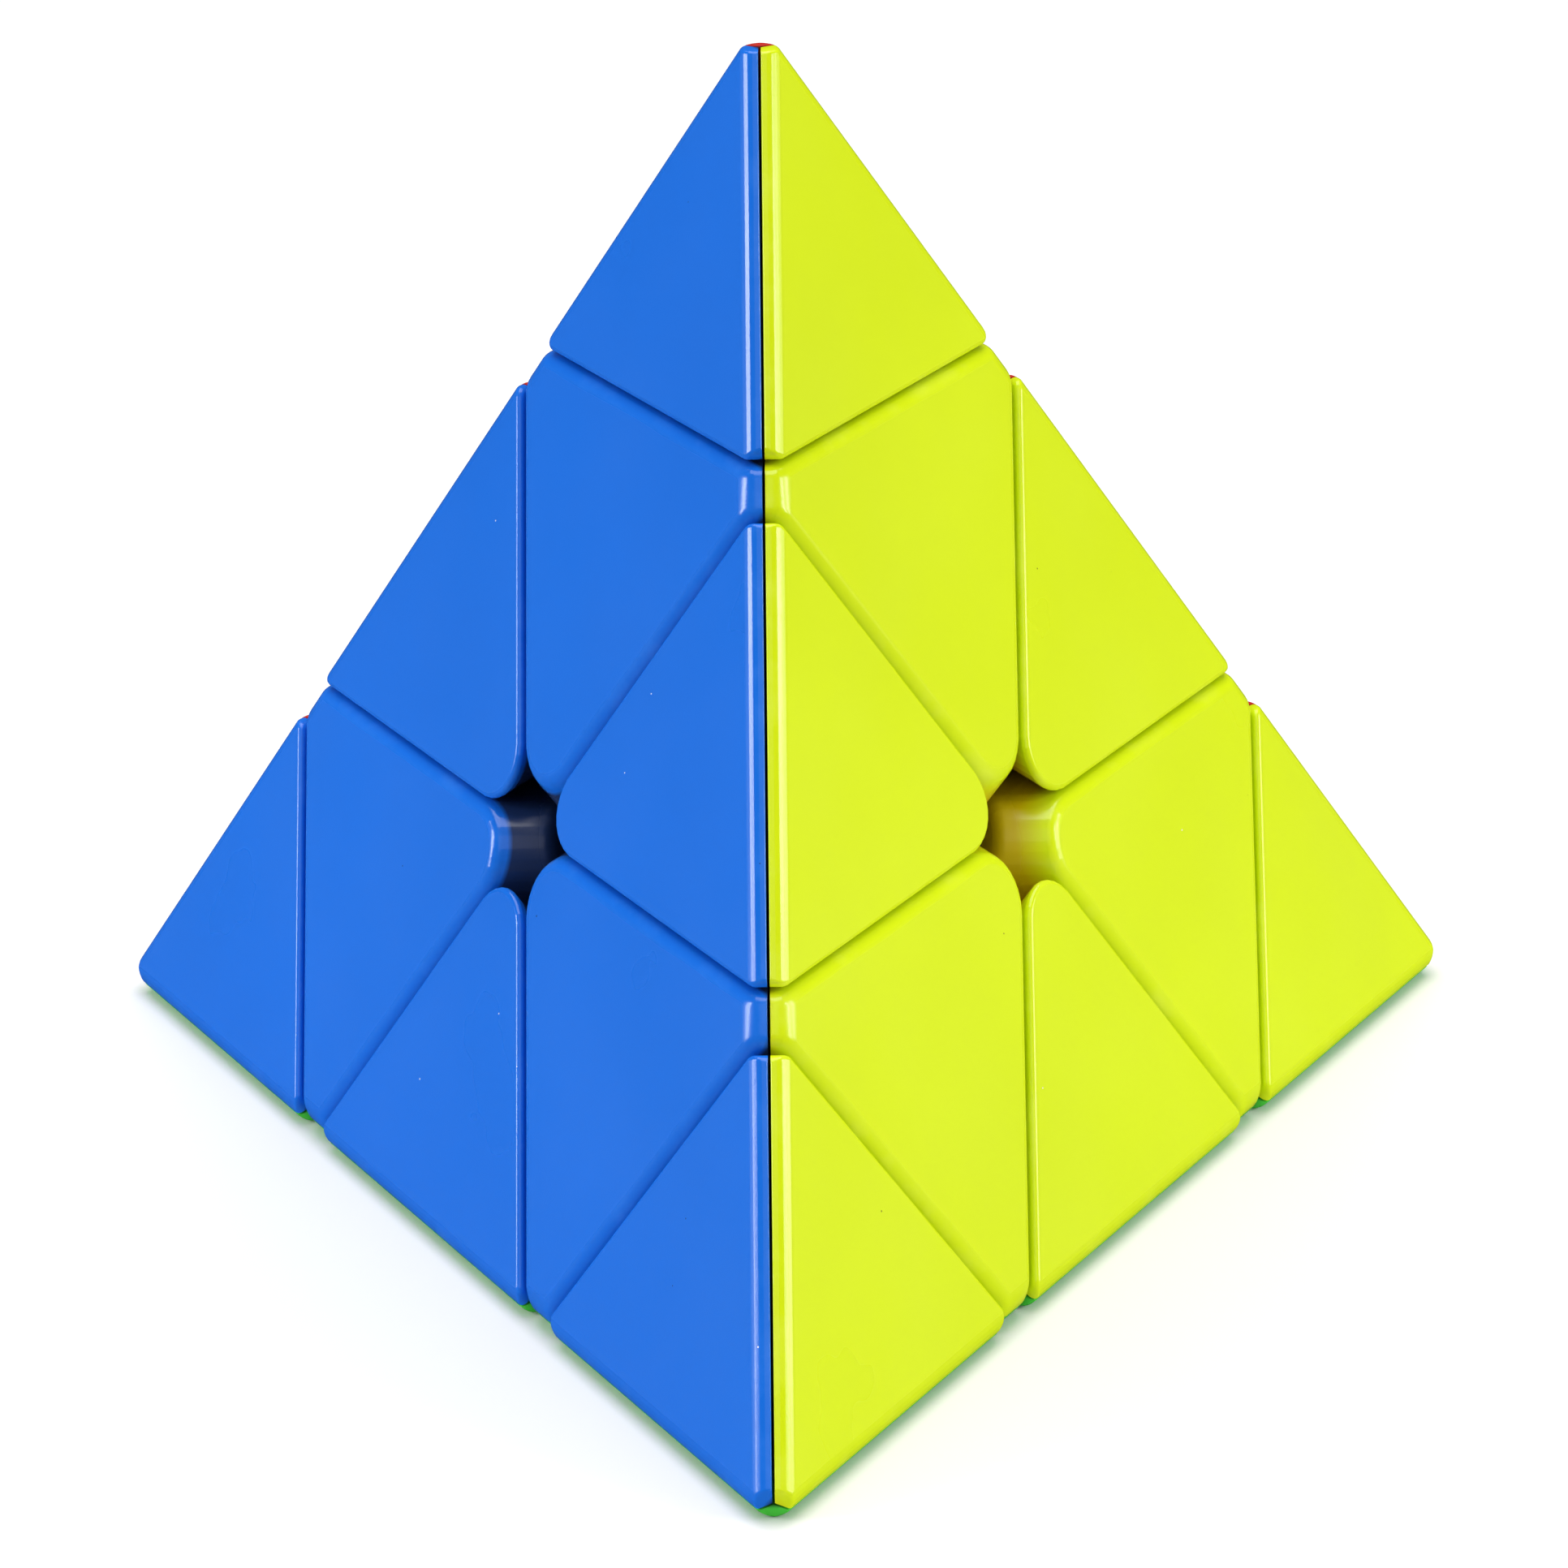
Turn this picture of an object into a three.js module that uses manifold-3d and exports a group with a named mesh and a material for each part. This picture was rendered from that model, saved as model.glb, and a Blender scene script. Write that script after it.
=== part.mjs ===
// A pyramid twisty puzzle: four tips, four axial pieces and six edge pieces around a core.
// Millimetres, +Z up, origin at the centre of the core, the pyramid standing on its green face.
// Every turning surface is a figure of revolution about one of the four corner axes.

import * as THREE from "three";
import { ConvexGeometry } from "three/addons/geometries/ConvexGeometry.js";
import { mergeVertices } from "three/addons/utils/BufferGeometryUtils.js";
import Module from "manifold-3d";

const wasm = await Module();
wasm.setup();

// ---- Driving dimensions ----
const EDGE_LENGTH = 98; // one long edge of the pyramid, corners taken as sharp
const FACE_DISTANCE = EDGE_LENGTH / Math.sqrt(24); // centre to each face
const CORNER_DISTANCE = 3 * FACE_DISTANCE; // centre to each sharp corner
const LAYER_PLANE = 6.8; // centre to the plane that a layer turns on
const TIP_PLANE = 34; // centre to the plane that a tip turns on
const POINT_CUT = 3.7; // sharp corner to the small flat on the end of each tip
const GAP = 0.3; // between pieces that move against each other
const SPLIT = 0.16; // between the coloured shells of one piece
const FIT = 0.15; // between a shell and the body inside it

// Rounding radii
const LONG_EDGE_ROUND = 1.65; // tips and edge pieces, along the pyramid's six edges
const AXIAL_EDGE_ROUND = 2.2; // axial pieces, along the same edges
const AXIAL_HOLE_ROUND = 4; // corners of the axial pieces at the middle of each face
const EDGE_HOLE_ROUND = 3.4; // corners of the edge pieces there
const END_ROUND = 0.55; // ends of the edge pieces
const TIP_ROUND = 0.7; // lower corners of the tips
const CRISP_RIM = 0.35; // every other edge of the tips and edge pieces
const SOFT_RIM = 1.2; // every other edge of the axial pieces

// Coloured shells
const SHELL_WALL = 2;
const SKIRT_WALL = 1.4;
const SKIRT_DEPTH = 7;

// Mechanism: radii from the centre and angles from an axis
const CORE_RADIUS = 6.5;
const WING_INNER = 8;
const WING_OUTER = 11.6;
const FLANGE_OUTER = 14.5;
const WING_ANGLE = 75;
const NECK_ANGLE = 59.3;
const FLANGE_ANGLE = 49;
const TRUNK_ANGLE = 40;
const STALK_RADIUS = 3.5; // joins an edge piece's wings to its cap
const STALK_TOP = 16.5;
const HUB_RADIUS = 4.6;
const HUB_BOTTOM = 9.6;
const SHANK_BORE = 1.9;
const POCKET_RADIUS = 3.6;
const POCKET_FLOOR = 14.5;
const POST_RADIUS = 3;
const POST_TOP = 9.2;

// Screws, springs and tip stems
const SCREW_RADIUS = 1.5;
const SCREW_HEAD_RADIUS = 3;
const SCREW_FOOT = 3.5;
const SCREW_HEAD_BOTTOM = 22.5;
const SCREW_HEAD_TOP = 24.7;
const SCREW_POINT = 0.6; // length of the taper at the foot
const HEAD_CHAMFER = 0.5;
const DRIVE_WIDTH = 0.7;
const DRIVE_LENGTH = 4;
const DRIVE_DEPTH = 0.8;
const SPRING_RADIUS = 2.5;
const WIRE_RADIUS = 0.38;
const SPRING_TURNS = 4;
const STEM_RADIUS = 3.2;
const STEM_END = 27;
const STEM_ROOT = 4; // length of the stem inside the tip
const BEAD_HEIGHT = 0.35;
const BEAD_MIDDLE = 28.7;
const BEAD_FLAT = 0.6;
const BEAD_SLOPE = 0.4;

const PAST = 1; // how far a cutting solid runs beyond what it cuts
const TOLERANCE = 1e-4; // anything closer than this is in the same place
const ROUND_SEGMENTS = 24;
const HUB_SEGMENTS = 18;
const BORE_SEGMENTS = 10;
const ARC_STEP = 15; // degrees

// ---- The four axes and the face opposite each ----
const SLANT = Math.sqrt(8) / 3;
const HALF = THREE.MathUtils.degToRad(30);
const AXES = {
  top: new THREE.Vector3(0, 0, 1),
  front: new THREE.Vector3(0, -SLANT, -1 / 3),
  right: new THREE.Vector3(SLANT * Math.cos(HALF), SLANT * Math.sin(HALF), -1 / 3),
  left: new THREE.Vector3(-SLANT * Math.cos(HALF), SLANT * Math.sin(HALF), -1 / 3),
};
const CORNERS = Object.keys(AXES);
const pairsOf = (list) => list.flatMap((a, i) => list.slice(i + 1).map((b) => [a, b]));
const COLOUR_OPPOSITE = { top: "green", front: "red", right: "blue", left: "yellow" };

const MATERIALS = {
  blue: plastic("#1f6be0", 0.38),
  yellow: plastic("#dcf32a", 0.38),
  green: plastic("#4fd247", 0.38),
  red: plastic("#cf3a34", 0.38),
  inner: plastic("#15171c", 0.5),
  steel: new THREE.MeshStandardMaterial({ color: "#b9bcc0", roughness: 0.3, metalness: 1 }),
};

function plastic(color, roughness) {
  return new THREE.MeshStandardMaterial({ color, roughness, metalness: 0 });
}

// ---- Solids ----
function solidOf(geometry) {
  const bare = geometry.index ? geometry.toNonIndexed() : geometry.clone();
  bare.deleteAttribute("normal");
  bare.deleteAttribute("uv");
  const merged = mergeVertices(bare, TOLERANCE);
  const mesh = new wasm.Mesh({
    numProp: 3,
    vertProperties: merged.attributes.position.array,
    triVerts: new Uint32Array(merged.index.array),
  });
  return new wasm.Manifold(mesh);
}

function geometryOf(solid) {
  const { vertProperties, triVerts } = solid.getMesh();
  const geometry = new THREE.BufferGeometry();
  geometry.setAttribute("position", new THREE.BufferAttribute(vertProperties, 3));
  geometry.setIndex(new THREE.BufferAttribute(triVerts, 1));
  return geometry;
}

function ball(radius, segments = ROUND_SEGMENTS) {
  return solidOf(new THREE.SphereGeometry(radius, segments, segments / 2));
}

// A solid of revolution about +Z from [radius, height] pairs, run upwards on the outside.
function turned(profile, segments = ROUND_SEGMENTS) {
  const points = profile.map(([radius, height]) => new THREE.Vector2(radius, height));
  const geometry = new THREE.LatheGeometry(points, segments);
  geometry.rotateX(Math.PI / 2);
  return solidOf(geometry);
}

// ---- Convex bodies from planes ----
// A plane keeps the side where normal . x <= distance.
const plane = (normal, distance) => ({ normal: normal.clone(), distance });
const facePlane = (corner) => plane(AXES[corner].clone().negate(), FACE_DISTANCE);
const above = (corner, height) => plane(AXES[corner].clone().negate(), -height);
const below = (corner, height) => plane(AXES[corner], height);
const insetBy = ({ normal, distance }, inset) => plane(normal, distance - inset);

// Planes that touch a round of the given radius between two planes.
function roundPlanes(a, b, radius, count) {
  const cosine = a.normal.dot(b.normal);
  const [p, q] = [a.distance - radius, b.distance - radius];
  const scale = 1 / (1 - cosine * cosine);
  const centre = a.normal.clone().multiplyScalar((p - cosine * q) * scale);
  centre.addScaledVector(b.normal, (q - cosine * p) * scale);
  const angle = Math.acos(cosine);
  return Array.from({ length: count }, (_, step) => {
    const turn = (angle * (step + 1)) / (count + 1);
    const normal = a.normal.clone().multiplyScalar(Math.sin(angle - turn));
    normal.addScaledVector(b.normal, Math.sin(turn)).normalize();
    return plane(normal, normal.dot(centre) + radius);
  });
}

// The point where three planes meet, or null where they don't.
function meetingPoint(a, b, c) {
  const across = new THREE.Vector3().crossVectors(b.normal, c.normal);
  const volume = a.normal.dot(across);
  if (Math.abs(volume) < TOLERANCE) return null;
  const point = across.multiplyScalar(a.distance);
  point.addScaledVector(new THREE.Vector3().crossVectors(c.normal, a.normal), b.distance);
  point.addScaledVector(new THREE.Vector3().crossVectors(a.normal, b.normal), c.distance);
  return point.divideScalar(volume);
}

// Each corner of the body inside the planes, with the normals of the planes that meet there.
function cornersInside(planes) {
  const found = [];
  const off = (p, point) => p.normal.dot(point) - p.distance;
  planes.forEach((a, i) =>
    planes.slice(i + 1).forEach((b, j) =>
      planes.slice(i + j + 2).forEach((c) => {
        const point = meetingPoint(a, b, c);
        if (!point || planes.some((p) => off(p, point) > TOLERANCE)) return;
        if (found.some((corner) => corner.point.distanceTo(point) < TOLERANCE)) return;
        const meeting = planes.filter((p) => Math.abs(off(p, point)) < TOLERANCE);
        found.push({ point, normals: meeting.map((p) => p.normal) });
      }),
    ),
  );
  return found;
}

// The normals and the directions halfway between each two.
function roundDirections(normals) {
  const halfway = pairsOf(normals).map(([a, b]) => a.clone().add(b).normalize());
  return [...normals, ...halfway];
}

function convexBody(planes, radius = 0) {
  const inner = planes.map((p) => insetBy(p, radius));
  const points = cornersInside(inner).flatMap(({ point, normals }) =>
    radius > 0
      ? roundDirections(normals).map((n) => point.clone().addScaledVector(n, radius))
      : [point],
  );
  return solidOf(new ConvexGeometry(points));
}

// ---- The turning surfaces ----
// Everything that turns with one corner's layer. Grown for what must stay outside it and shrunk
// for what is inside it, by half a gap.
function layerSolid(grow) {
  const inner = WING_INNER - grow;
  const outer = WING_OUTER + grow;
  const shoulder = FLANGE_OUTER - grow;
  const wing = WING_ANGLE + THREE.MathUtils.radToDeg(grow / outer);
  const neck = NECK_ANGLE + THREE.MathUtils.radToDeg(grow / shoulder);
  const rim = THREE.MathUtils.radToDeg(Math.acos((LAYER_PLANE - grow) / shoulder));
  const far = 2 * CORNER_DISTANCE;
  const profile = [
    ...arc(inner, 0, wing),
    ...arc(outer, wing, neck),
    ...arc(shoulder, neck, rim),
    [far, LAYER_PLANE - grow],
    [far, far],
    [0, far],
  ];
  return turned(profile);
}

// Points on a circle about the centre, by their angle from the axis in degrees.
function arc(radius, from, to) {
  const steps = Math.max(1, Math.ceil(Math.abs(to - from) / ARC_STEP));
  return Array.from({ length: steps + 1 }, (_, i) => {
    const angle = THREE.MathUtils.degToRad(from + ((to - from) * i) / steps);
    return [radius * Math.sin(angle), radius * Math.cos(angle)];
  });
}

const layerInside = layerSolid(-GAP / 2);
const layerOutside = layerSolid(GAP / 2);

// The rotation of the pyramid onto itself that takes top to one corner and front to another.
function rotationTo(corner, neighbour) {
  return basisOf(corner, neighbour).multiply(basisOf("top", "front").invert());
}

function basisOf(corner, neighbour) {
  const middle = AXES[corner].clone().add(AXES[neighbour]).normalize();
  const along = AXES[corner].clone().sub(AXES[neighbour]).normalize();
  const across = new THREE.Vector3().crossVectors(middle, along);
  return new THREE.Matrix4().makeBasis(middle, along, across);
}

const anyOther = (corner) => (corner === "top" ? "front" : "top");
const turnedTo = (solid, corner) => solid.transform(rotationTo(corner, anyOther(corner)).elements);

// What is left of a solid that moves with some corners' layers and with no others.
function inLayers(solid, corners) {
  return CORNERS.reduce(
    (rest, corner) =>
      corners.includes(corner)
        ? rest.intersect(turnedTo(layerInside, corner))
        : rest.subtract(turnedTo(layerOutside, corner)),
    solid,
  );
}

// ---- Coloured shells ----
// The shell on the face opposite a corner, out of a piece's outer body, above its cavity.
function shellOn(face, otherFaces, outer, cavity) {
  let shell = outer;
  for (const other of otherFaces) {
    const seam = AXES[other].clone().sub(AXES[face]).normalize();
    shell = shell.trimByPlane(seam.toArray(), SPLIT / 2);
  }
  const inward = AXES[face].clone().negate();
  shell = shell.trimByPlane(inward.toArray(), FACE_DISTANCE - SKIRT_DEPTH);
  return shell.subtract(cavity).subtract(ball(FLANGE_OUTER + GAP / 2));
}

function shellsOn(faces, outer, cavity) {
  return faces.map((face) => {
    const others = faces.filter((other) => other !== face);
    return { face, geometry: geometryOf(shellOn(face, others, outer, cavity)) };
  });
}

// ---- Tip, built on the top corner ----
const topFaces = ["front", "right", "left"];

function tipPiece() {
  const floor = above("top", TIP_PLANE + GAP / 2);
  const edges = pairsOf(topFaces).flatMap(([a, b]) =>
    roundPlanes(facePlane(a), facePlane(b), LONG_EDGE_ROUND, 1),
  );
  const point = below("top", CORNER_DISTANCE - POINT_CUT);
  const ends = edges.flatMap((edge) => roundPlanes(edge, floor, TIP_ROUND, 1));
  const faces = topFaces.map((face) => facePlane(face));
  const outer = convexBody([...faces, floor, ...edges, point, ...ends], CRISP_RIM);
  const hollow = (wall, bottom) =>
    convexBody([...faces.map((face) => insetBy(face, wall)), above("top", bottom)]);
  const stem = turned(stemProfile(0), BORE_SEGMENTS);
  const body = hollow(SHELL_WALL + FIT, TIP_PLANE + GAP / 2).add(stem);
  const cavity = hollow(SHELL_WALL, TIP_PLANE - PAST);
  return { body: geometryOf(body), shells: shellsOn(topFaces, outer, cavity) };
}

// The stem that a tip turns on, with the bead that holds it in. Grown, it is the socket.
function stemProfile(grow) {
  const radius = STEM_RADIUS + grow;
  const bead = radius + BEAD_HEIGHT;
  const end = STEM_END - grow;
  const beadLow = BEAD_MIDDLE - BEAD_FLAT / 2 - grow;
  const beadHigh = BEAD_MIDDLE + BEAD_FLAT / 2 + grow;
  const root = TIP_PLANE + STEM_ROOT;
  return [
    [0, end],
    [radius, end],
    [radius, beadLow - BEAD_SLOPE],
    [bead, beadLow],
    [bead, beadHigh],
    [radius, beadHigh + BEAD_SLOPE],
    [radius, root],
    [0, root],
  ];
}

// ---- Axial piece, built on the top corner ----
function axialPiece() {
  const floor = LAYER_PLANE + GAP / 2;
  const roof = TIP_PLANE - GAP / 2;
  const side = LAYER_PLANE - GAP / 2;
  const faces = topFaces.map((face) => facePlane(face));
  const sides = topFaces.map((corner) => below(corner, side));
  const edges = pairsOf(faces).flatMap(([a, b]) => roundPlanes(a, b, AXIAL_EDGE_ROUND, 1));
  const holes = pairsOf(sides).flatMap(([a, b]) => roundPlanes(a, b, AXIAL_HOLE_ROUND, 2));
  const planes = [...faces, ...sides, above("top", floor), below("top", roof)];
  const outer = convexBody([...planes, ...edges, ...holes], SOFT_RIM);
  const hollow = (fit, past) =>
    convexBody([
      ...faces.map((face) => insetBy(face, SHELL_WALL + fit)),
      ...[...sides, ...holes].map((wall) => insetBy(wall, SKIRT_WALL + fit)),
      above("top", floor - past),
      below("top", roof + past),
    ]);
  const inside = hollow(FIT, 0);
  const cap = inside.subtract(ball(FLANGE_OUTER + GAP / 2));
  const pocket = turned(pocketProfile(), BORE_SEGMENTS);
  const socket = turned(stemProfile(GAP), BORE_SEGMENTS);
  const body = cap.add(turned(hubProfile(), HUB_SEGMENTS)).subtract(pocket).subtract(socket);
  return { body: geometryOf(body), shells: shellsOn(topFaces, outer, hollow(0, PAST)) };
}

// The hub around the screw, the flange that holds the edge pieces' wings, and the trunk above it.
function hubProfile() {
  const under = WING_OUTER + GAP / 2;
  const over = FLANGE_OUTER - GAP / 2;
  const hubAngle = THREE.MathUtils.radToDeg(Math.asin(HUB_RADIUS / under));
  const trunk = over * Math.sin(THREE.MathUtils.degToRad(TRUNK_ANGLE));
  return [
    [0, HUB_BOTTOM],
    [HUB_RADIUS, HUB_BOTTOM],
    ...arc(under, hubAngle, FLANGE_ANGLE),
    ...arc(over, FLANGE_ANGLE, TRUNK_ANGLE),
    [trunk, FLANGE_OUTER],
    [0, FLANGE_OUTER],
  ];
}

// The bore for the screw's shank and the pocket for its spring and head.
const pocketProfile = () => [
  [0, 0],
  [SHANK_BORE, 0],
  [SHANK_BORE, POCKET_FLOOR],
  [POCKET_RADIUS, POCKET_FLOOR],
  [POCKET_RADIUS, STEM_END],
  [0, STEM_END],
];

// ---- Edge piece, built between the top and front corners ----
function edgePiece() {
  const ends = ["top", "front"];
  const faces = ["right", "left"];
  const cuts = ends.map((corner) => above(corner, LAYER_PLANE + GAP / 2));
  const sides = faces.map((face) => facePlane(face));
  const [edge] = roundPlanes(sides[0], sides[1], LONG_EDGE_ROUND, 1);
  const hole = roundPlanes(cuts[0], cuts[1], EDGE_HOLE_ROUND, 2);
  const caps = cuts.flatMap((cut) => roundPlanes(edge, cut, END_ROUND, 1));
  const outer = convexBody([...sides, ...cuts, edge, ...hole, ...caps], CRISP_RIM);
  const hollow = (fit) =>
    convexBody([
      ...sides.map((side) => insetBy(side, SHELL_WALL + fit)),
      ...[...cuts, ...hole].map((wall) => insetBy(wall, SKIRT_WALL + fit)),
    ]);
  const stalk = turned(cylinderProfile(STALK_RADIUS, 0, STALK_TOP), BORE_SEGMENTS);
  const upright = stalk.rotate([0, 90, 0]).transform(basisOf(...ends).elements);
  const wings = ball(FLANGE_OUTER - GAP / 2).add(upright);
  const body = inLayers(hollow(FIT).add(wings), ends);
  return { body: geometryOf(body), shells: shellsOn(faces, outer, hollow(0)) };
}

// ---- Core, screws and springs ----
const cylinderProfile = (radius, low, high) => [[0, low], [radius, low], [radius, high], [0, high]];

function coreBody() {
  const post = turned(cylinderProfile(POST_RADIUS, 0, POST_TOP), BORE_SEGMENTS);
  const bore = turned(cylinderProfile(SCREW_RADIUS + FIT, SCREW_FOOT - PAST, POST_TOP + PAST), BORE_SEGMENTS);
  let core = ball(CORE_RADIUS, HUB_SEGMENTS);
  for (const corner of CORNERS) core = core.add(turnedTo(post, corner));
  for (const corner of CORNERS) core = core.subtract(turnedTo(bore, corner));
  return geometryOf(core);
}

function screwBody() {
  const shank = [
    [0, SCREW_FOOT],
    [SCREW_RADIUS, SCREW_FOOT + SCREW_POINT],
    [SCREW_RADIUS, SCREW_HEAD_BOTTOM],
    [SCREW_HEAD_RADIUS, SCREW_HEAD_BOTTOM],
    [SCREW_HEAD_RADIUS, SCREW_HEAD_TOP - HEAD_CHAMFER],
    [SCREW_HEAD_RADIUS - HEAD_CHAMFER, SCREW_HEAD_TOP],
    [0, SCREW_HEAD_TOP],
  ];
  const bar = new THREE.BoxGeometry(DRIVE_WIDTH, DRIVE_LENGTH, 2 * DRIVE_DEPTH);
  bar.translate(0, 0, SCREW_HEAD_TOP);
  const slot = solidOf(bar);
  const cross = slot.add(slot.rotate([0, 0, 90]));
  return geometryOf(turned(shank, BORE_SEGMENTS).subtract(cross));
}

class Helix extends THREE.Curve {
  getPoint(t) {
    const angle = t * SPRING_TURNS * 2 * Math.PI;
    const low = POCKET_FLOOR + WIRE_RADIUS + GAP / 2;
    const high = SCREW_HEAD_BOTTOM - WIRE_RADIUS - GAP / 2;
    const height = THREE.MathUtils.lerp(low, high, t);
    return new THREE.Vector3(SPRING_RADIUS * Math.cos(angle), SPRING_RADIUS * Math.sin(angle), height);
  }
}

function springBody() {
  const wire = new THREE.Shape().absarc(0, 0, WIRE_RADIUS, 0, 2 * Math.PI);
  const options = { steps: SPRING_TURNS * 8, curveSegments: 2, bevelEnabled: false };
  const geometry = new THREE.ExtrudeGeometry(wire, { ...options, extrudePath: new Helix() });
  return geometryOf(solidOf(geometry));
}

// ---- Assembly ----
const puzzle = new THREE.Group();

function addMesh(group, name, geometry, material) {
  const mesh = new THREE.Mesh(geometry, material);
  mesh.name = name;
  group.add(mesh);
}

function placed(rotation) {
  const group = new THREE.Group();
  group.setRotationFromMatrix(rotation);
  puzzle.add(group);
  return group;
}

// The corner that another one lands on after a rotation.
function landsOn(corner, rotation) {
  const moved = AXES[corner].clone().applyMatrix4(rotation);
  return CORNERS.find((name) => AXES[name].dot(moved) > 0.99);
}

function addPiece(name, piece, rotation) {
  const group = placed(rotation);
  addMesh(group, name + "_body", piece.body, MATERIALS.inner);
  for (const { face, geometry } of piece.shells) {
    const colour = COLOUR_OPPOSITE[landsOn(face, rotation)];
    addMesh(group, name + "_shell_" + colour, geometry, MATERIALS[colour]);
  }
}

const tip = tipPiece();
const axial = axialPiece();
const edge = edgePiece();
const screw = screwBody();
const spring = springBody();

addMesh(puzzle, "core", coreBody(), MATERIALS.inner);
for (const corner of CORNERS) {
  const rotation = rotationTo(corner, anyOther(corner));
  addPiece("tip_" + corner, tip, rotation);
  addPiece("axial_" + corner, axial, rotation);
  const fasteners = placed(rotation);
  addMesh(fasteners, "screw_" + corner, screw, MATERIALS.steel);
  addMesh(fasteners, "spring_" + corner, spring, MATERIALS.steel);
}
for (const [corner, neighbour] of pairsOf(CORNERS)) {
  addPiece("edge_" + corner + "_" + neighbour, edge, rotationTo(corner, neighbour));
}

export default puzzle;
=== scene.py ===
"""Looks for the pyramid twisty puzzle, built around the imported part.

Tips and axial pieces are worked out at the top corner, and edge pieces between the top and front
corners, in millimetres. Each is then turned to its place and scaled to metres. Every visible edge is
a true round, not a bump.
"""

import itertools
import math

import bmesh
import bpy
import numpy as np
from mathutils import Matrix, Vector


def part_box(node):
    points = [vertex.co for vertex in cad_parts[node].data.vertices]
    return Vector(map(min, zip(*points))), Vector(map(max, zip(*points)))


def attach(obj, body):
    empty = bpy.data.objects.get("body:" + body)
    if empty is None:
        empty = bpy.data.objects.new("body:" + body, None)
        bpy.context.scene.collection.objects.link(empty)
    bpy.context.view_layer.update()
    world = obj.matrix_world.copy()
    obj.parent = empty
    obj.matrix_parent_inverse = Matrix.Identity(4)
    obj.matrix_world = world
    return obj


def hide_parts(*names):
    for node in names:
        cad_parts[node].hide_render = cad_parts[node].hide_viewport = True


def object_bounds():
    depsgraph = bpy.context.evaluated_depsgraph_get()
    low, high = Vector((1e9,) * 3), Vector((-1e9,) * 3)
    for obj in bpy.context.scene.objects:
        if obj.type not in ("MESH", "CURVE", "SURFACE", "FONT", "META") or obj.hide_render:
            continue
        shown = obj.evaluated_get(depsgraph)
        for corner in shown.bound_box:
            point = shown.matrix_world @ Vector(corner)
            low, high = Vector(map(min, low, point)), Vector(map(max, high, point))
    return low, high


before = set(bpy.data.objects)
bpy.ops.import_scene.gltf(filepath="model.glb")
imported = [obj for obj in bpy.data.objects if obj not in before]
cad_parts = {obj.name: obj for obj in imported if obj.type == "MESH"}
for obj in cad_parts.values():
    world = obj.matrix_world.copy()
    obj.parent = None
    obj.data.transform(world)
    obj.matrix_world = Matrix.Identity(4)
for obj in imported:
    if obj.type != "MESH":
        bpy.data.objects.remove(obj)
cad_low, cad_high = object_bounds()

# ---- Driving dimensions, in millimetres and degrees ----
MM = 0.001
GAP = 0.3  # between pieces that turn past each other
SPLIT = 0.16  # between two shells of one piece
FIT = 0.15  # between a shell and the body inside it
PAST = 1.0  # how far a cutting solid runs past what it cuts

# Distances from the centre to a face, to a sharp corner, and to the planes under a layer and a tip
FACE = -cad_low.z / MM
CORNER = 3 * FACE
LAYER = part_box("axial_top_shell_blue")[0].z / MM - GAP / 2
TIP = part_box("tip_top_shell_blue")[0].z / MM - GAP / 2

POINT_CUT = 3.7
LONG_EDGE_ROUND = 1.65
AXIAL_EDGE_ROUND = 2.2
AXIAL_HOLE_ROUND = 4.0
EDGE_HOLE_ROUND = 3.4
END_ROUND = 0.55
TIP_ROUND = 0.7
CRISP_RIM = 0.35
SOFT_RIM = 1.2
SEAM_ROUND = 0.13

SHELL_WALL = 2.0
SKIRT_WALL = 1.4
SKIRT_DEPTH = 7.0

CORE_RADIUS = 6.5
WING_INNER = 8.0
WING_OUTER = 11.6
FLANGE_OUTER = 14.5
WING_ANGLE = 75
NECK_ANGLE = 59.3
FLANGE_ANGLE = 49
TRUNK_ANGLE = 40
STALK_RADIUS = 3.5
STALK_TOP = 16.5
HUB_RADIUS = 4.6
HUB_BOTTOM = 9.6
SHANK_BORE = 1.9
POCKET_RADIUS = 3.6
POCKET_FLOOR = 14.5
POST_RADIUS = 3.0
POST_TOP = 9.2
HUB_EASE = 0.3
POST_EASE = 0.3
STEM_EASE = 0.15

SCREW_RADIUS = 1.5
SCREW_TIP_RADIUS = SCREW_RADIUS * 0.7
SCREW_FOOT = 3.5
SCREW_HEAD_RADIUS = 3.0
SCREW_HEAD_BOTTOM = 22.5
SCREW_HEAD_TOP = 24.7
SCREW_HEAD_CHAMFER = 0.2
SCREW_HEAD_DOME = 1.2
THREAD_PITCH = 1.0
THREAD_DEPTH = 0.28
THREAD_FADE = 0.6
THREAD_TOP = 12.0
DRIVE_WIDTH = 0.7
DRIVE_LENGTH = 4.0
DRIVE_DEPTH = 0.8
DRIVE_PAST = 0.5
DRIVE_FLOOR_SCALE = 0.7
DRIVE_MOUTH_SCALE = 1.1
SPRING_RADIUS = 2.5
WIRE_RADIUS = 0.38
SPRING_TURNS = 4
CLOSED_TURNS = 0.8
CLOSED_PITCH = 2.1 * WIRE_RADIUS
STEM_RADIUS = 3.2
STEM_END = 27.0
STEM_ROOT = 4.0
BEAD_HEIGHT = 0.35
BEAD_MIDDLE = 28.7
BEAD_FLAT = 0.6
BEAD_SLOPE = 0.4

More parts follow.
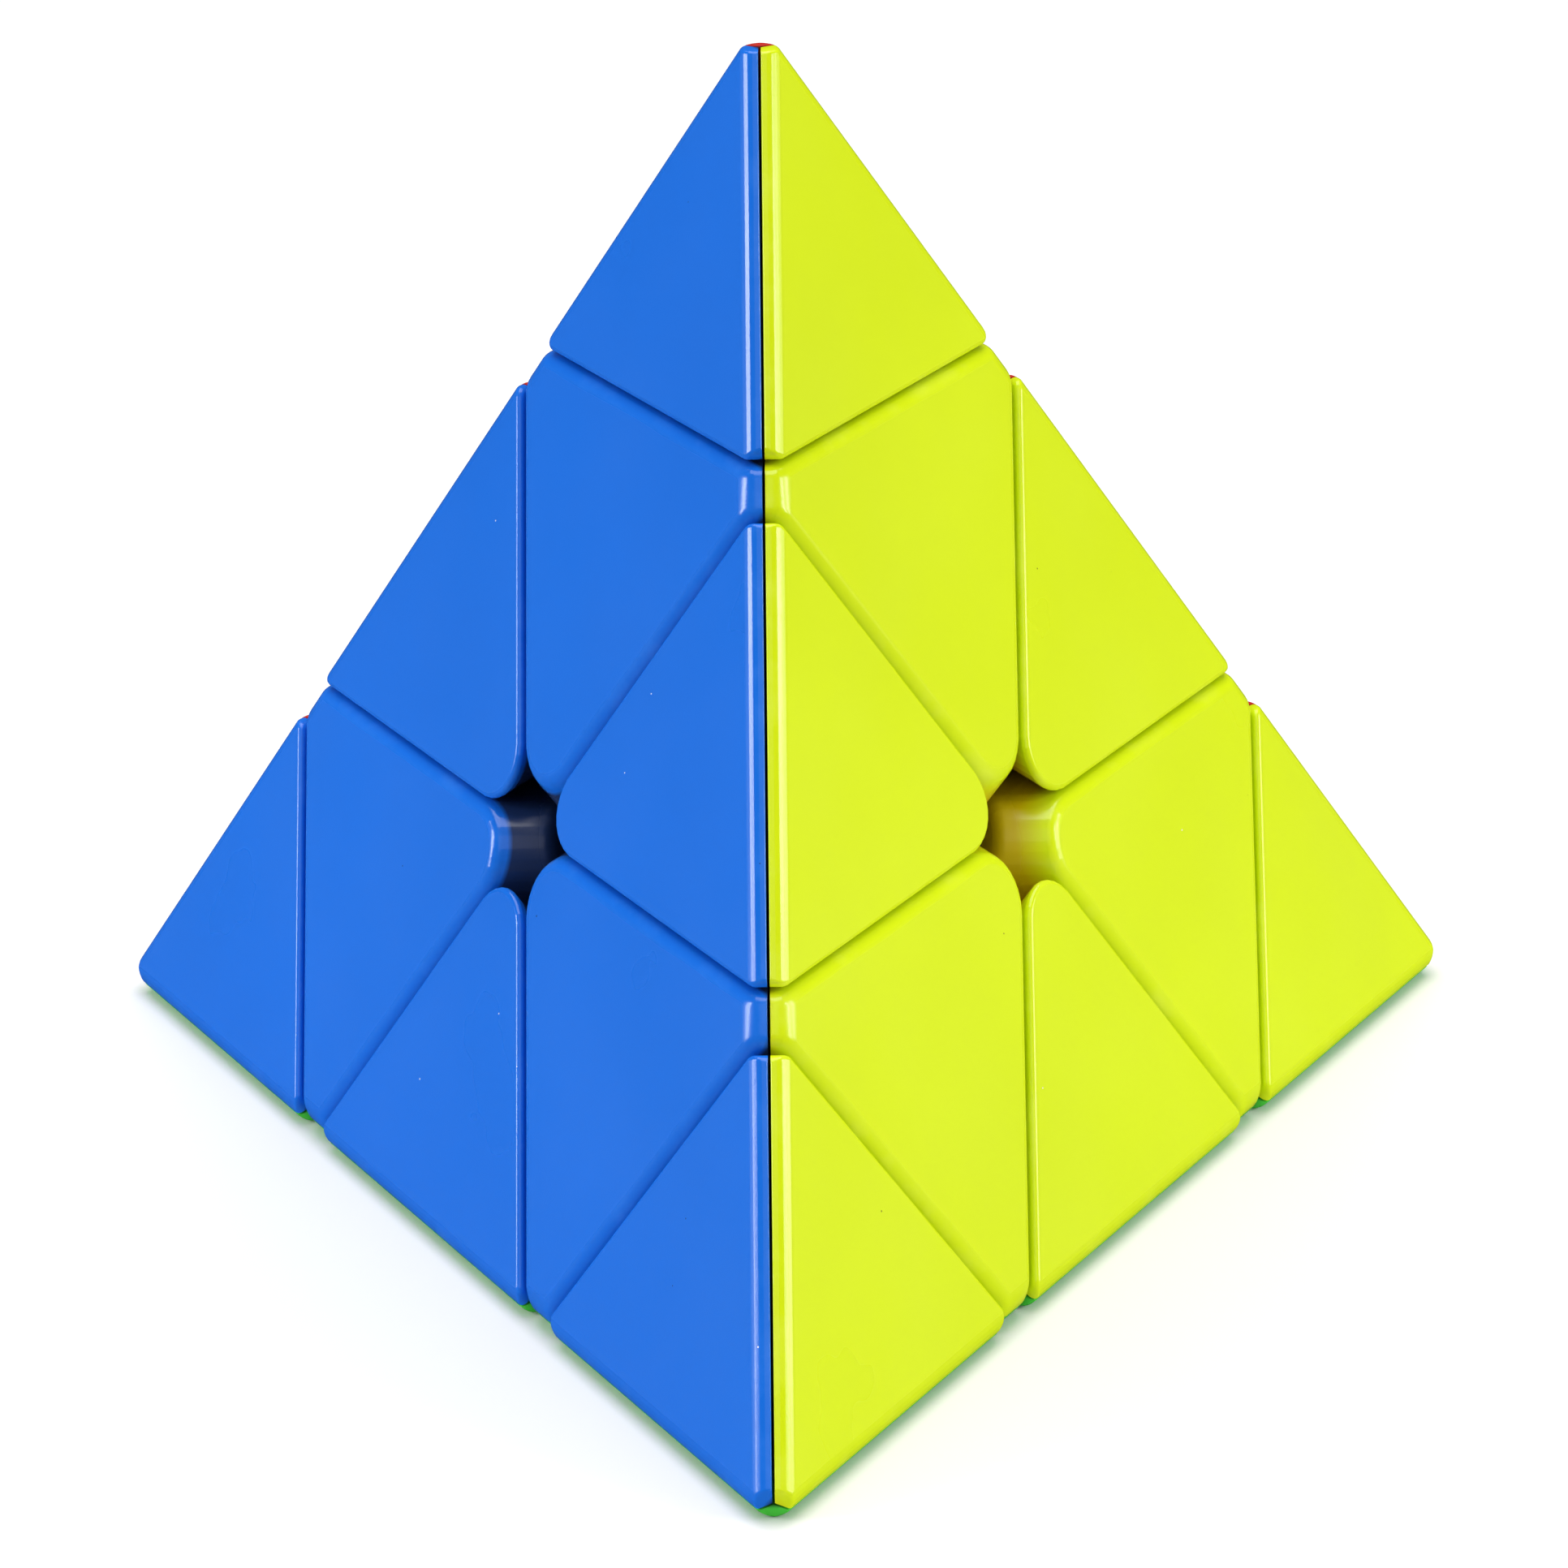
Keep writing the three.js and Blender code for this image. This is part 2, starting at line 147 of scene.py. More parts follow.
# ---- Fineness of the meshes, with SEAM_TILTS, ARC_STEP and DOME_STEP in degrees ----
ROUND_STEP = math.radians(11)
PLANE_STEP = math.radians(13)
SHARP_ANGLE = math.radians(32)
RIM_TILT = math.radians(30)
SLIGHT_BEND = math.radians(20)
SEAM_TILTS = (22.5, 45, 67.5)
ARC_STEP = 4
DOME_STEP = 10
LATHE_SEGMENTS = 96
BORE_SEGMENTS = 48
EASE_STEPS = 4
EASE_ROOM = 2.2  # a straight is at least this many times the ease at its ends
STEPS_PER_PITCH = 10
WIRE_STEPS = 36
WIRE_SIDES = 12

# ---- Tolerances, in millimetres where they are distances ----
SAME_DIRECTION = 1e-6
ON_AXIS = 1e-9
JUST_INSIDE = 1e-7
ON_CUT = 1e-6
ON_PLANE = 1e-5
SAME_CORNER = 1e-4
SHORTEST_EASE = 1e-3
ON_FACE = 1e-3
WELD = 0.5e-3

# ---- The four corner axes, and the colour of the face opposite each ----
SLANT = math.sqrt(8) / 3
THIRTY = math.radians(30)
AXES = {
    "top": np.array([0.0, 0.0, 1.0]),
    "front": np.array([0.0, -SLANT, -1 / 3]),
    "right": np.array([SLANT * math.cos(THIRTY), SLANT * math.sin(THIRTY), -1 / 3]),
    "left": np.array([-SLANT * math.cos(THIRTY), SLANT * math.sin(THIRTY), -1 / 3]),
}
CORNERS = list(AXES)
COLOUR_OPPOSITE = {"top": "green", "front": "red", "right": "blue", "left": "yellow"}
TOP_FACES = ["front", "right", "left"]  # a face goes by the name of the corner opposite it


def pairs(items):
    return list(itertools.combinations(items, 2))


def unit(vector):
    return vector / np.linalg.norm(vector)


def angle_between(a, b):
    return math.acos(max(-1.0, min(1.0, float(a @ b))))


def slerp(a, b, share):
    """The unit vector a share of the way round from one unit vector to another."""
    angle = angle_between(a, b)
    if angle < SAME_DIRECTION:
        return a
    return (math.sin((1 - share) * angle) * a + math.sin(share * angle) * b) / math.sin(angle)


# ---- Planes: a (normal, distance) pair keeps the side where normal . x <= distance ----
def face_plane(corner):
    return -AXES[corner], FACE


def above(corner, height):
    return -AXES[corner], -height


def below(corner, height):
    return AXES[corner], height


def inset_by(planes, inset):
    return [(normal, distance - inset) for normal, distance in planes]


def round_planes(a, b, radius):
    """Planes that touch a round of the radius between two planes."""
    cosine = float(a[0] @ b[0])
    p, q = a[1] - radius, b[1] - radius
    centre = ((p - cosine * q) * a[0] + (q - cosine * p) * b[0]) / (1 - cosine**2)
    pieces = 2 * math.ceil(math.acos(cosine) / PLANE_STEP / 2)
    normals = [slerp(a[0], b[0], i / pieces) for i in range(1, pieces)]
    return [(n, float(n @ centre) + radius) for n in normals]


def middle(planes):
    return planes[len(planes) // 2]


# ---- Convex bodies with every edge rounded ----
def polytope(planes):
    """The corners inside the planes, and which planes touch each."""
    normals = np.array([n for n, _ in planes])
    distances = np.array([d for _, d in planes])
    triples = np.array(list(itertools.combinations(range(len(planes)), 3)))
    triples = triples[abs(np.linalg.det(normals[triples])) > SAME_DIRECTION]
    points = np.linalg.solve(normals[triples], distances[triples][..., None])[..., 0]
    points = points[(points @ normals.T <= distances + JUST_INSIDE).all(axis=1)]
    corners = []
    for point in points:
        if all(np.linalg.norm(point - other) > SAME_CORNER for other in corners):
            corners.append(point)
    corners = np.array(corners)
    touching = abs(corners @ normals.T - distances) < ON_PLANE
    touching[:, touching.sum(axis=0) < 3] = False
    return corners, touching


ODD_DIRECTION = (0.3, 0.5, 0.8)  # along none of the axes used here


def ordered_round(items, directions, axis):
    """Items in order of their directions' angle about an axis."""
    first = unit(np.cross(axis, ODD_DIRECTION))
    second = np.cross(axis, first)
    return [i for _, i in sorted((math.atan2(d @ second, d @ first), i)
                                 for i, d in zip(items, directions))]


class RoundedBody:
    """The body inside some planes with a ball rolled round its edges, as a bmesh."""

    def __init__(self, planes, radius=0.0):
        self.bm = bmesh.new()
        self.radius = radius
        self.normals = [n for n, _ in planes]
        self.corners, self.touching = polytope([(n, d - radius) for n, d in planes])
        self.made = {}
        for i in range(len(planes)):
            self.add_face(i)
        if radius > 0:
            for c in range(len(self.corners)):
                self.add_patch(c)
        bmesh.ops.remove_doubles(self.bm, verts=self.bm.verts, dist=ON_PLANE)
        bmesh.ops.dissolve_degenerate(self.bm, edges=self.bm.edges, dist=ON_PLANE)
        bmesh.ops.recalc_face_normals(self.bm, faces=self.bm.faces)

    def steps(self, a, b):
        return max(1, round(angle_between(a, b) / ROUND_STEP))

    def vertex(self, corner, direction):
        """The vertex on a corner's ball in a direction, made once."""
        place = self.corners[corner] + self.radius * direction
        key = (corner, *np.round(direction, 6))
        if key not in self.made:
            self.made[key] = self.bm.verts.new(place)
        return self.made[key]

    def arc(self, corner, i, j):
        """The vertices from one plane's normal to another's, at a corner."""
        low, high = min(i, j), max(i, j)
        a, b = self.normals[low], self.normals[high]
        count = self.steps(a, b)
        found = [self.vertex(corner, slerp(a, b, k / count)) for k in range(count + 1)]
        return found if i == low else found[::-1]

    def face_of(self, vertices):
        distinct = list(dict.fromkeys(vertices))
        if len(distinct) > 2:
            self.bm.faces.new(distinct)

    def add_face(self, i):
        on_plane = np.flatnonzero(self.touching[:, i])
        if len(on_plane) < 3:
            return
        centre = self.corners[on_plane].mean(axis=0)
        outline = ordered_round(on_plane, self.corners[on_plane] - centre, self.normals[i])
        if self.radius == 0:
            self.face_of([self.vertex(c, np.zeros(3)) for c in outline])
            return
        self.face_of([self.vertex(c, self.normals[i]) for c in outline])
        for c, d in zip(outline, outline[1:] + outline[:1]):
            on_both = np.flatnonzero(self.touching[c] & self.touching[d])
            for j in on_both[on_both > i]:
                self.add_strip(self.arc(c, i, j), self.arc(d, i, j))

    def add_strip(self, one, other):
        for k in range(len(one) - 1):
            self.face_of([one[k], one[k + 1], other[k + 1], other[k]])

    def add_patch(self, c):
        """The part of the ball between the planes that meet at a corner."""
        around = np.flatnonzero(self.touching[c])
        normals = [self.normals[i] for i in around]
        around = ordered_round(around, normals, unit(sum(normals)))
        arcs = [self.arc(c, i, j) for i, j in zip(around, around[1:] + around[:1])]
        sides = sorted(arcs, key=len)
        if len(arcs) == 3 and len(sides[0]) == 2 and len(sides[1]) == len(sides[2]):
            self.add_ladder(arcs, arcs.index(sides[0]))
            return
        loop = [v for arc in arcs for v in arc[:-1]]
        self.add_rings(c, loop)

    def add_ladder(self, arcs, short):
        """A narrow patch, as rungs from its short side to the opposite point."""
        one = arcs[(short + 1) % 3]
        other = arcs[(short + 2) % 3][::-1]
        self.add_strip(one, other)

    def add_rings(self, c, loop):
        """A wider patch, as rings from its outline in to its middle."""
        place = Vector(self.corners[c])
        directions = [unit(np.array(v.co - place)) for v in loop]
        centre = unit(sum(directions))
        count = max(1, round(max(angle_between(centre, d) for d in directions) / ROUND_STEP))
        outer = loop
        for ring in range(count - 1, 0, -1):
            inner = [self.vertex(c, slerp(centre, d, ring / count)) for d in directions]
            self.add_strip(outer + outer[:1], inner + inner[:1])
            outer = inner
        tip = self.vertex(c, centre)
        for a, b in zip(outer, outer[1:] + outer[:1]):
            self.face_of([a, b, tip])


def clip(bm, normal, distance):
    """Cuts a convex bmesh by a plane, keeps the side where normal . x <= distance, and closes it."""
    geometry = [*bm.verts, *bm.edges, *bm.faces]
    bmesh.ops.bisect_plane(bm, geom=geometry, dist=ON_CUT, plane_co=Vector(normal) * distance,
                           plane_no=Vector(normal), clear_outer=True)
    open_edges = [e for e in bm.edges if e.is_boundary]
    if open_edges:
        bmesh.ops.edgeloop_fill(bm, edges=open_edges)


# ---- Meshes and booleans ----
def mesh_from(bm):
    """A bmesh as a mesh, with its faces pointing out. The bmesh is used up."""
    bmesh.ops.recalc_face_normals(bm, faces=bm.faces)
    mesh = bpy.data.meshes.new("part")
    bm.to_mesh(mesh)
    bm.free()
    return mesh


def holder(mesh):
    thing = bpy.data.objects.new("holder", mesh)
    bpy.context.scene.collection.objects.link(thing)
    return thing


def combined(mesh, other, operation):
    """The mesh after joining, cutting or keeping what it shares with another."""
    target, tool = holder(mesh), holder(other)
    modifier = target.modifiers.new("boolean", "BOOLEAN")
    modifier.object = tool
    modifier.operation = operation
    modifier.solver = "EXACT"
    graph = bpy.context.evaluated_depsgraph_get()
    result = bpy.data.meshes.new_from_object(target.evaluated_get(graph))
    for thing in (target, tool):
        bpy.data.objects.remove(thing)
    return result


def cut(mesh, other):
    return combined(mesh, other, "DIFFERENCE")


def joined(mesh, other):
    return combined(mesh, other, "UNION")


def shared(mesh, other):
    return combined(mesh, other, "INTERSECT")


def lathe(profile, segments=LATHE_SEGMENTS, ripple=None):
    """A closed solid of revolution about +Z from (radius, height) pairs that start and end on the
    axis. ripple(height, turn) is added to the radius."""
    bm = bmesh.new()
    rings = []
    for radius, height in profile:
        if radius < ON_AXIS:
            rings.append([bm.verts.new((0, 0, height))] * segments)
            continue
        ring = []
        for k in range(segments):
            turn = k / segments
            r = radius + (ripple(height, turn) if ripple else 0)
            angle = 2 * math.pi * turn
            ring.append(bm.verts.new((r * math.cos(angle), r * math.sin(angle), height)))
        rings.append(ring)
    for low, high in zip(rings, rings[1:]):
        for k in range(segments):
            n = (k + 1) % segments
            bm.faces.new(dict.fromkeys([low[k], low[n], high[n], high[k]]))
    return mesh_from(bm)


def arc_points(radius, start, end):
    """(radius, height) pairs on a circle about the centre, by angle from the axis in degrees."""
    count = max(1, math.ceil(abs(end - start) / ARC_STEP))
    angles = [math.radians(start + (end - start) * i / count) for i in range(count + 1)]
    return [(radius * math.sin(a), radius * math.cos(a)) for a in angles]


def ball(radius):
    inner = arc_points(radius, 180, 0)[1:-1]
    return lathe([(0, -radius), *inner, (0, radius)])


def eased(profile, radius):
    """The profile with its corners rounded off, for lathes."""
    points = [profile[0]]
    for before, here, after in zip(profile, profile[1:], profile[2:]):
        a, b, c = (np.array(p, float) for p in (before, here, after))
        shorter = min(np.linalg.norm(a - b), np.linalg.norm(c - b))
        reach = min(radius, shorter / EASE_ROOM)
        start, end = b + unit(a - b) * reach, b + unit(c - b) * reach
        turned = angle_between(unit(b - a), unit(c - b))
        if turned < SLIGHT_BEND or reach < SHORTEST_EASE:
            points.append(tuple(b))
            continue
        for share in (i / EASE_STEPS for i in range(EASE_STEPS + 1)):
            bend = (1 - share) ** 2 * start + 2 * share * (1 - share) * b + share**2 * end
            points.append(tuple(bend))
    return [*points, profile[-1]]


def cylinder(radius, low, high, ease=0.0):
    profile = [(0, low), (radius, low), (radius, high), (0, high)]
    return lathe(eased(profile, ease) if ease else profile, BORE_SEGMENTS)


# ---- Rotations of the pyramid onto itself ----
def basis(corner, neighbour):
    mid = unit(AXES[corner] + AXES[neighbour])
    along = unit(AXES[corner] - AXES[neighbour])
    return np.column_stack([mid, along, np.cross(mid, along)])


def rotation_to(corner, neighbour):
    """Takes the top corner to one corner and the front corner to another."""
    turn = basis(corner, neighbour) @ basis("top", "front").T
    return Matrix(turn.tolist()).to_4x4()


def any_other(corner):
    return "front" if corner == "top" else "top"


def turned_to(mesh, corner):
    copy = mesh.copy()
    copy.transform(rotation_to(corner, any_other(corner)))
    return copy


def lands_on(corner, rotation):
    """The corner that another one reaches after a rotation."""
    moved = rotation.to_3x3() @ Vector(AXES[corner])
    return max(CORNERS, key=lambda name: moved.dot(Vector(AXES[name])))


# ---- The surface that a layer turns on, grown or shrunk by half a gap ----
def layer_solid(grow):
    inner = WING_INNER - grow
    outer = WING_OUTER + grow
    shoulder = FLANGE_OUTER - grow
    wing = WING_ANGLE + math.degrees(grow / outer)
    neck = NECK_ANGLE + math.degrees(grow / shoulder)
    rim = math.degrees(math.acos((LAYER - grow) / shoulder))
    far = 2 * CORNER
    return lathe([
        *arc_points(inner, 0, wing),
        *arc_points(outer, wing, neck),
        *arc_points(shoulder, neck, rim),
        (far, LAYER - grow),
        (far, far),
        (0, far),
    ])


def in_layers(mesh, corners):
    """What is left of a solid that moves with some corners' layers and with no others."""
    inside, outside = layer_solid(-GAP / 2), layer_solid(GAP / 2)
    for corner in CORNERS:
        if corner in corners:
            mesh = shared(mesh, turned_to(inside, corner))
        else:
            mesh = cut(mesh, turned_to(outside, corner))
    return mesh


# ---- Coloured shells ----
def support(bm, direction):
    """How far a mesh reaches in a direction."""
    return max(v.co.dot(Vector(direction)) for v in bm.verts)


def round_seam(bm, edge_direction, seam, seam_distance):
    """Takes the sharp corner off the straight part of a shell's seam."""
    ridge = support(bm, edge_direction)
    for degrees in SEAM_TILTS:
        tilt = math.radians(degrees)
        normal = math.cos(tilt) * edge_direction + math.sin(tilt) * seam
        reach = math.cos(tilt) * (ridge - SEAM_ROUND) + math.sin(tilt) * (seam_distance - SEAM_ROUND)
        clip(bm, normal, reach + SEAM_ROUND)


def shell_on(face, faces, outer, hollows):
    """The shell on the face opposite a corner, out of a piece's outer body."""
    bm = outer.copy()
    for other in faces:
        if other == face:
            continue
        seam = unit(AXES[face] - AXES[other])
        clip(bm, seam, -SPLIT / 2)
        round_seam(bm, -unit(AXES[face] + AXES[other]), seam, -SPLIT / 2)
    clip(bm, AXES[face], SKIRT_DEPTH - FACE)
    mesh = mesh_from(bm)
    for hollow in hollows:
        mesh = cut(mesh, hollow)
    return mesh


def shells_on(faces, outer, hollows):
    return {face: shell_on(face, faces, outer, hollows) for face in faces}


def plain_body(planes):
    return mesh_from(RoundedBody(planes).bm)


# ---- Tip ----
def tip_piece():
    floor = above("top", TIP + GAP / 2)
    faces = [face_plane(face) for face in TOP_FACES]
    rounds = [round_planes(a, b, LONG_EDGE_ROUND) for a, b in pairs(faces)]
    ends = [p for planes in rounds for p in round_planes(middle(planes), floor, TIP_ROUND)]
    point = below("top", CORNER - POINT_CUT)
    outer = RoundedBody([*faces, floor, point, *itertools.chain(*rounds), *ends], CRISP_RIM).bm

    def hollow(wall, bottom):
        return plain_body([*inset_by(faces, wall), above("top", bottom)])

    stem = lathe(eased(stem_profile(0), STEM_EASE), BORE_SEGMENTS)
    body = joined(hollow(SHELL_WALL + FIT, TIP + GAP / 2), stem)
    return body, shells_on(TOP_FACES, outer, [hollow(SHELL_WALL, TIP - PAST)])


def stem_profile(grow):
    """The stem that a tip turns on, with the bead that holds it in. Grown, it is the socket."""
    radius = STEM_RADIUS + grow
    bead = radius + BEAD_HEIGHT
    end = STEM_END - grow
    bead_low = BEAD_MIDDLE - BEAD_FLAT / 2 - grow
    bead_high = BEAD_MIDDLE + BEAD_FLAT / 2 + grow
    root = TIP + STEM_ROOT
    return [
        (0, end),
        (radius, end),
        (radius, bead_low - BEAD_SLOPE),
        (bead, bead_low),
        (bead, bead_high),
        (radius, bead_high + BEAD_SLOPE),
        (radius, root),
        (0, root),
    ]


# ---- Axial piece ----
def axial_piece():
    side = LAYER - GAP / 2
    floor, roof = LAYER + GAP / 2, TIP - GAP / 2
    faces = [face_plane(face) for face in TOP_FACES]
    sides = [below(corner, side) for corner in TOP_FACES]
    rounds = [p for a, b in pairs(faces) for p in round_planes(a, b, AXIAL_EDGE_ROUND)]
    holes = [p for a, b in pairs(sides) for p in round_planes(a, b, AXIAL_HOLE_ROUND)]
    ends = [above("top", floor), below("top", roof)]
    outer = RoundedBody([*faces, *sides, *ends, *rounds, *holes], SOFT_RIM).bm

    def hollow(fit, past):
        return plain_body([
            *inset_by(faces, SHELL_WALL + fit),
            *inset_by([*sides, *holes], SKIRT_WALL + fit),
            above("top", floor - past),
            below("top", roof + past),
        ])

    cap = cut(hollow(FIT, 0), ball(FLANGE_OUTER + GAP / 2))
    body = joined(cap, lathe(hub_profile()))
    body = cut(body, lathe(pocket_profile(), BORE_SEGMENTS))
    body = cut(body, lathe(stem_profile(GAP), BORE_SEGMENTS))
    return body, shells_on(TOP_FACES, outer, [hollow(0, PAST), ball(FLANGE_OUTER + GAP / 2)])


def hub_profile():
    """The hub around the screw, the flange that holds the wings, and the trunk above it."""
    under = WING_OUTER + GAP / 2
    over = FLANGE_OUTER - GAP / 2
    hub_angle = math.degrees(math.asin(HUB_RADIUS / under))
    trunk = over * math.sin(math.radians(TRUNK_ANGLE))
    return eased([
        (0, HUB_BOTTOM),
        (HUB_RADIUS, HUB_BOTTOM),
        *arc_points(under, hub_angle, FLANGE_ANGLE),
        *arc_points(over, FLANGE_ANGLE, TRUNK_ANGLE),
        (trunk, FLANGE_OUTER),
        (0, FLANGE_OUTER),
    ], HUB_EASE)


def pocket_profile():
    """The bore for the screw's shank and the pocket for its spring and head."""
    return [
        (0, 0),
        (SHANK_BORE, 0),
        (SHANK_BORE, POCKET_FLOOR),
        (POCKET_RADIUS, POCKET_FLOOR),
        (POCKET_RADIUS, STEM_END),
        (0, STEM_END),
    ]


# ---- Edge piece, between the top and front corners ----
def edge_piece():
    ends, faces = ["top", "front"], ["right", "left"]
    cuts = [above(corner, LAYER + GAP / 2) for corner in ends]
    sides = [face_plane(face) for face in faces]
    rounds = round_planes(*sides, LONG_EDGE_ROUND)
    hole = round_planes(*cuts, EDGE_HOLE_ROUND)
    caps = [p for c in cuts for p in round_planes(middle(rounds), c, END_ROUND)]
    outer = RoundedBody([*sides, *cuts, *rounds, *hole, *caps], CRISP_RIM).bm

    def hollow(fit):
        return plain_body([
            *inset_by(sides, SHELL_WALL + fit),
            *inset_by([*cuts, *hole], SKIRT_WALL + fit),
        ])

    stalk = cylinder(STALK_RADIUS, 0, STALK_TOP)
    stalk.transform(Matrix(basis(*ends).tolist()).to_4x4() @ Matrix.Rotation(math.pi / 2, 4, "Y"))
    wings = joined(ball(FLANGE_OUTER - GAP / 2), stalk)
    body = in_layers(joined(hollow(FIT), wings), ends)
    return body, shells_on(faces, outer, [hollow(0), ball(FLANGE_OUTER + GAP / 2)])


# ---- Core, screws and springs ----
def core_body():
    core = ball(CORE_RADIUS)
    for corner in CORNERS:
        core = joined(core, turned_to(cylinder(POST_RADIUS, 0, POST_TOP, POST_EASE), corner))
    for corner in CORNERS:
        bore = cylinder(SCREW_RADIUS + FIT, SCREW_FOOT - PAST, POST_TOP + PAST)
        core = cut(core, turned_to(bore, corner))
    return core


def screw_body():
    """A pan-head screw with a coarse thread on its lower end and a cross recess."""
    def thread(height, turn):
        fade = min(1, (height - SCREW_FOOT) / THREAD_FADE, (THREAD_TOP - height) / THREAD_FADE)
        wave = abs(((height / THREAD_PITCH - turn) % 1) * 2 - 1)
        return -THREAD_DEPTH * wave * max(0, fade)

    count = round((THREAD_TOP - SCREW_FOOT) / THREAD_PITCH * STEPS_PER_PITCH)
    heights = [SCREW_FOOT + (THREAD_TOP - SCREW_FOOT) * i / count for i in range(1, count + 1)]
    head = SCREW_HEAD_RADIUS
    dome = [
        (head * math.cos(a), SCREW_HEAD_TOP - SCREW_HEAD_DOME + SCREW_HEAD_DOME * math.sin(a))
        for a in (math.radians(d) for d in range(0, 90, DOME_STEP))
    ]
    profile = [
        (0, SCREW_FOOT),
        (SCREW_TIP_RADIUS, SCREW_FOOT),
        *((SCREW_RADIUS, h) for h in heights),
        (SCREW_RADIUS, SCREW_HEAD_BOTTOM),
        (head - SCREW_HEAD_CHAMFER, SCREW_HEAD_BOTTOM),
        (head, SCREW_HEAD_BOTTOM + SCREW_HEAD_CHAMFER),
        *dome,
        (0, SCREW_HEAD_TOP),
    ]
    screw = lathe(profile, BORE_SEGMENTS, thread)
    for turn in (0, math.pi / 2):
        screw = cut(screw, drive_slot(turn))
    return screw


def drive_slot(turn):
    """One bar of the cross recess, narrower at its floor."""
    half_width, half_length = DRIVE_WIDTH / 2, DRIVE_LENGTH / 2
    outline = [(-1, -1), (1, -1), (1, 1), (-1, 1)]
    bm = bmesh.new()
    levels = [(SCREW_HEAD_TOP - DRIVE_DEPTH, DRIVE_FLOOR_SCALE),
              (SCREW_HEAD_TOP + DRIVE_PAST, DRIVE_MOUTH_SCALE)]
    rings = [[bm.verts.new((x * half_width * s, y * half_length * s, z)) for x, y in outline]
             for z, s in levels]
    bm.faces.new(rings[0])
    bm.faces.new(rings[1])
    for k in range(4):
        n = (k + 1) % 4
        bm.faces.new([rings[0][k], rings[0][n], rings[1][n], rings[1][k]])
    bm.transform(Matrix.Rotation(turn, 4, "Z"))
    return mesh_from(bm)


def spring_body():
    """A compression spring with closed ends."""
    low = POCKET_FLOOR + WIRE_RADIUS + GAP / 2
    high = SCREW_HEAD_BOTTOM - WIRE_RADIUS - GAP / 2
    turns = SPRING_TURNS + 2 * CLOSED_TURNS
    closed_rise = CLOSED_PITCH * CLOSED_TURNS

    def height(done):
        if done < CLOSED_TURNS:
            return low + closed_rise * done / CLOSED_TURNS
        if done > turns - CLOSED_TURNS:
            return high - closed_rise * (turns - done) / CLOSED_TURNS
        share = (done - CLOSED_TURNS) / SPRING_TURNS
        return low + closed_rise + (high - low - 2 * closed_rise) * share

    def point(done):
        angle = 2 * math.pi * done
        return np.array([SPRING_RADIUS * math.cos(angle), SPRING_RADIUS * math.sin(angle), height(done)])

    steps = round(turns * WIRE_STEPS)
    near = 0.01
    around = [2 * math.pi * k / WIRE_SIDES for k in range(WIRE_SIDES)]
    bm = bmesh.new()
    rings = []
    for i in range(steps + 1):
        done = turns * i / steps
        here = point(done)
        ahead = unit(point(min(turns, done + near)) - point(max(0, done - near)))
        outward = unit(np.array([here[0], here[1], 0]))
        across = unit(np.cross(ahead, outward))
        outward = np.cross(across, ahead)
        rings.append([bm.verts.new(here + WIRE_RADIUS * (math.cos(a) * outward + math.sin(a) * across))
                      for a in around])
    for one, other in zip(rings, rings[1:]):
        for k in range(WIRE_SIDES):
            n = (k + 1) % WIRE_SIDES
            bm.faces.new([one[k], one[n], other[n], other[k]])
    bm.faces.new(rings[0])
    bm.faces.new(rings[-1])
    return mesh_from(bm)


# ---- Materials ----
class Graph:
    """A material's node tree, with short ways to add and link nodes."""

    def __init__(self, name, roughness, metallic=0.0):
        self.material = bpy.data.materials.new(name)
        self.material.use_nodes = True
        self.tree = self.material.node_tree
        self.shader = self.tree.nodes["Principled BSDF"]
        self.shader.inputs["Metallic"].default_value = metallic
        self.shader.inputs["Roughness"].default_value = roughness
        self.place = self.add("ShaderNodeTexCoord").outputs["Object"]

    def add(self, kind, **settings):
        node = self.tree.nodes.new(kind)
        for key, value in settings.items():
            setattr(node, key, value)
        return node

    def put(self, node, socket, value):
        """Sets a socket to a number or colour, or links it to another node's output."""
        if isinstance(value, bpy.types.NodeSocket):
            self.tree.links.new(value, node.inputs[socket])
        else:
            node.inputs[socket].default_value = value

    def noise(self, scale, detail=2.0, roughness=0.5):
        node = self.add("ShaderNodeTexNoise")
        self.put(node, "Vector", self.place)
        self.put(node, "Scale", scale)
        self.put(node, "Detail", detail)
        self.put(node, "Roughness", roughness)
        return node.outputs["Fac"]

    def ranged(self, value, low, high, start, end):
        node = self.add("ShaderNodeMapRange")
        for socket, number in zip(("From Min", "From Max", "To Min", "To Max"), (low, high, start, end)):
            self.put(node, socket, number)
        self.put(node, "Value", value)
        return node.outputs["Result"]

    def calculate(self, operation, a, b):
        node = self.add("ShaderNodeMath", operation=operation)
        self.put(node, 0, a)
        self.put(node, 1, b)
        return node.outputs[0]

    def mix(self, share, a, b):
        node = self.add("ShaderNodeMix", data_type="RGBA")
        self.put(node, "Factor", share)
        for socket, value in ((6, a), (7, b)):
            self.put(node, socket, value)
        return node.outputs[2]

    def stored(self, name):
        """A number stored on each point of the mesh."""
        return self.add("ShaderNodeAttribute", attribute_name=name).outputs["Fac"]

    def specks(self, scale, radius):
        """Dots of the radius, in metres, about one in each cell of the space around the piece."""
        node = self.add("ShaderNodeTexVoronoi")
        self.put(node, "Vector", self.place)
        self.put(node, "Scale", scale)
        return self.calculate("LESS_THAN", node.outputs["Distance"], radius * scale)

    def bump(self, height, distance, strength):
        node = self.add("ShaderNodeBump")
        self.put(node, "Strength", strength)
        self.put(node, "Distance", distance)
        self.put(node, "Height", height)
        self.put(self.shader, "Normal", node.outputs["Normal"])


def shade(colour, factor):
    return (*(min(1.0, c * factor) for c in colour[:3]), 1.0)


